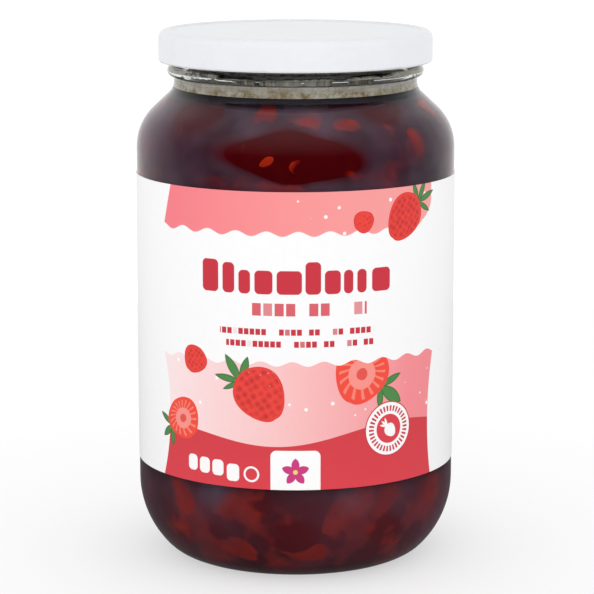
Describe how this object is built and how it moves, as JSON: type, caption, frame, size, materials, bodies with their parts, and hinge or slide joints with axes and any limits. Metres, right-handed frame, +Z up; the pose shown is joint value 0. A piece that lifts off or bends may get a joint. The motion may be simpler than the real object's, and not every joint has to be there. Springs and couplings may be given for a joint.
{
  "type": "fruit cocktail jar",
  "caption": "Glass jar filled with dark strawberry fruit cocktail, with a white twist-off metal lid and a paper wrap label.",
  "frame": {"origin": "middle of the ring that the jar stands on", "axes": "+Z up along the jar's axis, -Y towards the front of the label, +X to the right seen from the front"},
  "size_m": [0.0978, 0.0979, 0.1624],
  "materials": {
    "glass": "clear",
    "fruit_and_syrup": "gloss",
    "lid_lacquer": "satin",
    "label_paper": "satin"
  },
  "bodies": {
    "root": {"glass_jar": "glass", "contents": "fruit_and_syrup", "lid": "lid_lacquer", "label": "label_paper"}
  },
  "joints": []
}
